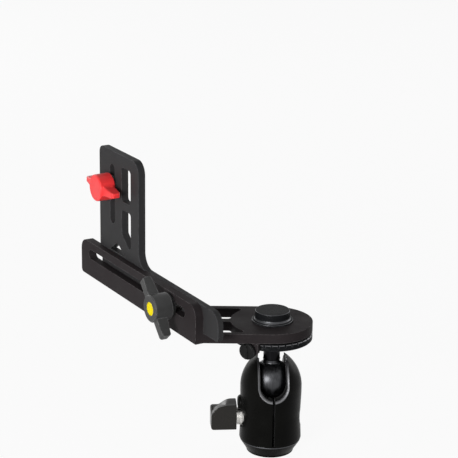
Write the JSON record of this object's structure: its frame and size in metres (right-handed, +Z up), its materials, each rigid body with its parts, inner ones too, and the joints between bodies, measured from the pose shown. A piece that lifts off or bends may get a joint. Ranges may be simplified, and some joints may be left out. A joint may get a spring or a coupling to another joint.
{
  "type": "panoramic tripod head",
  "caption": "Panoramic tripod head: pinch ball head, notched rotator, slotted angle rail and a sliding upright camera plate with a camera screw.",
  "frame": {"origin": "mouth of the tripod thread, on the rotator's axis at the underside of the base", "axes": "+Z up along the rotator's axis, +Y along the rail away from the lens side, the rail stands on the -X side"},
  "size_m": [0.0944, 0.1827, 0.1728],
  "materials": {
    "head_black": "satin black anodised",
    "ball_black": "turned, satin black anodised",
    "bracket_black": "fine powder coat",
    "plate_black": "fine powder coat",
    "steel": "bright, turned",
    "knob_black": "matt moulded",
    "knob_red": "satin moulded",
    "cap_yellow": "satin moulded",
    "nylon": "turned black nylon",
    "bronze": "sintered bronze"
  },
  "bodies": {
    "base": {"base_plate": "head_black", "base_bush": "steel", "base_screws": "steel", "housing": "head_black", "ball_seat": "nylon"},
    "lock": {"lock_screw": "steel", "lock_washer": "steel", "lock_knob": "knob_black"},
    "ball_platform": {"ball": "ball_black", "platform_stud": "steel", "index_disc": "head_black", "friction_washer": "nylon", "pivot_bolt": "steel"},
    "top_clamp": {"top_washer": "knob_black", "top_knob": "head_black"},
    "arm": {"bracket": "bracket_black", "pivot_bush": "bronze"},
    "pan_lock": {"pan_lock_screw": "steel", "pan_lock_knob": "knob_black"},
    "plate": {"camera_plate": "plate_black", "clamp_insert": "steel"},
    "rail_clamp": {"clamp_screw": "steel", "clamp_washer": "knob_black", "clamp_knob": "knob_black", "clamp_cap": "cap_yellow"},
    "camera_slider": {"camera_washer": "knob_black"},
    "camera_clamp": {"camera_screw": "steel", "camera_knob": "knob_red"}
  },
  "joints": [
    {"name": "lock_turn", "type": "hinge", "parent": "base", "child": "lock", "pos_m": [-0.01941, 0.00926, 0.0225], "axis": [-0.9026, 0.4305, 0], "range_deg": [-270, 90]},
    {"name": "ball_tilt", "type": "hinge", "parent": "base", "child": "ball_platform", "pos_m": [0, 0, 0.0475], "axis": [0.9026, -0.4305, 0], "range_deg": [-90, 90]},
    {"name": "arm_pan", "type": "hinge", "parent": "ball_platform", "child": "arm", "pos_m": [0, 0, 0.08], "axis": [0, 0, 1], "continuous": true},
    {"name": "top_knob_turn", "type": "hinge", "parent": "ball_platform", "child": "top_clamp", "pos_m": [0, 0, 0.0872], "axis": [0, 0, 1], "range_deg": [-360, 0]},
    {"name": "pan_lock_turn", "type": "hinge", "parent": "arm", "child": "pan_lock", "pos_m": [-0.02661, -0.01385, 0.075], "axis": [-0.887, -0.4617, 0], "range_deg": [-360, 0]},
    {"name": "plate_slide", "type": "slide", "parent": "arm", "child": "plate", "axis": [0, 1, 0], "range_m": [-0.0144, 0.1125]},
    {"name": "clamp_knob_turn", "type": "hinge", "parent": "plate", "child": "rail_clamp", "pos_m": [-0.06, 0.0305, 0.0956], "axis": [1, 0, 0], "range_deg": [-360, 0]},
    {"name": "camera_screw_slide", "type": "slide", "parent": "plate", "child": "camera_slider", "axis": [0, 0, 1], "range_m": [-0.0221, 0.011]},
    {"name": "camera_knob_turn", "type": "hinge", "parent": "camera_slider", "child": "camera_clamp", "pos_m": [-0.056, 0.1189, 0.1492], "axis": [1, 0, 0], "range_deg": [-360, 0]}
  ]
}
